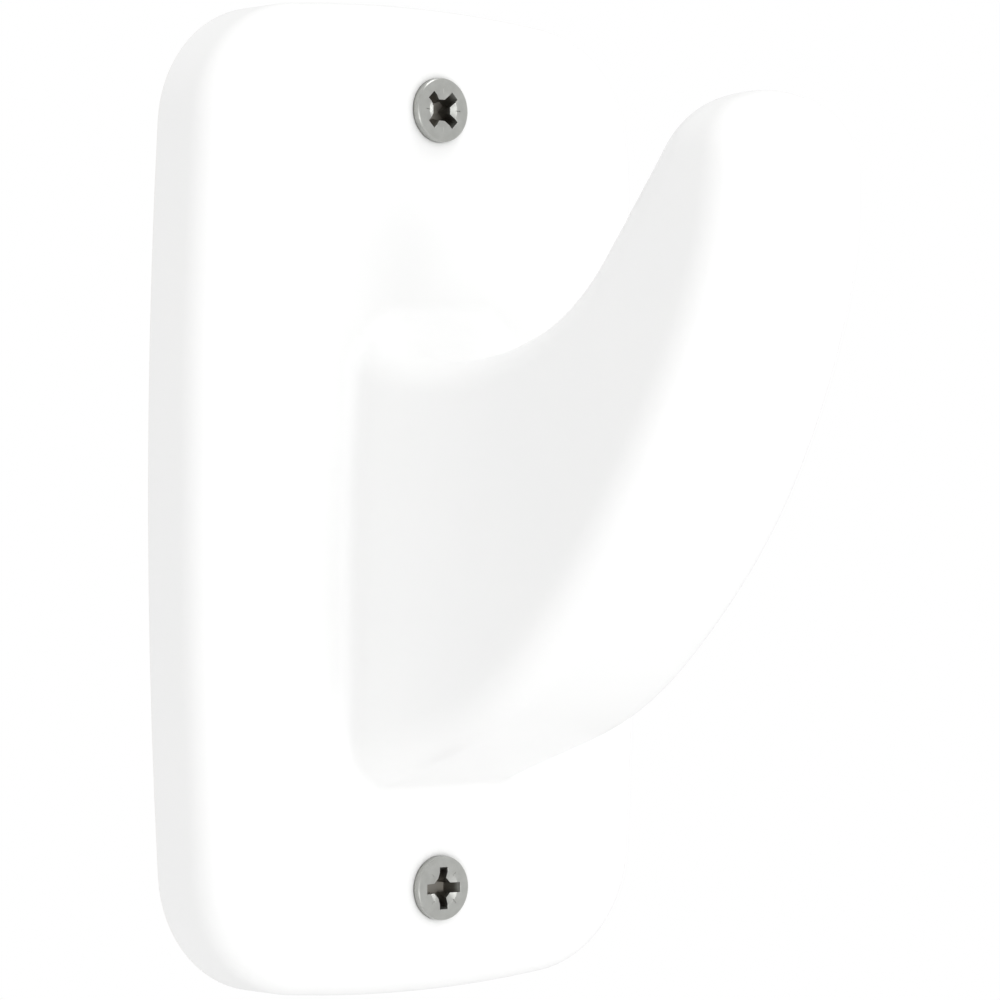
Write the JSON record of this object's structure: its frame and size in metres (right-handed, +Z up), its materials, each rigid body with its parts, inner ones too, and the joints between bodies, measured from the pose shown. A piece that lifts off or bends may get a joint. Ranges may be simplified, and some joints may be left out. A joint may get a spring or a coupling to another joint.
{
  "type": "porcelain wall hook",
  "caption": "Thick glazed porcelain wall hook: a bowed upright plate with an upswept horn, screwed to a wall to hang coats, towels or bags.",
  "frame": {"origin": "middle of the plate's back, on the wall plane, midway between the two screws", "axes": "+Y into the wall along the screws, so the front faces -Y; +X to the right seen from the front; +Z up along the plate"},
  "size_m": [0.069, 0.1026, 0.12],
  "materials": {
    "glazed_porcelain": "plain white gloss glaze on the front and edges, unglazed matt bisque on the back",
    "screw_steel": "satin nickel-plated steel"
  },
  "bodies": {
    "root": {"porcelain_hook": "glazed_porcelain", "mounting_screws": "screw_steel"}
  },
  "joints": []
}
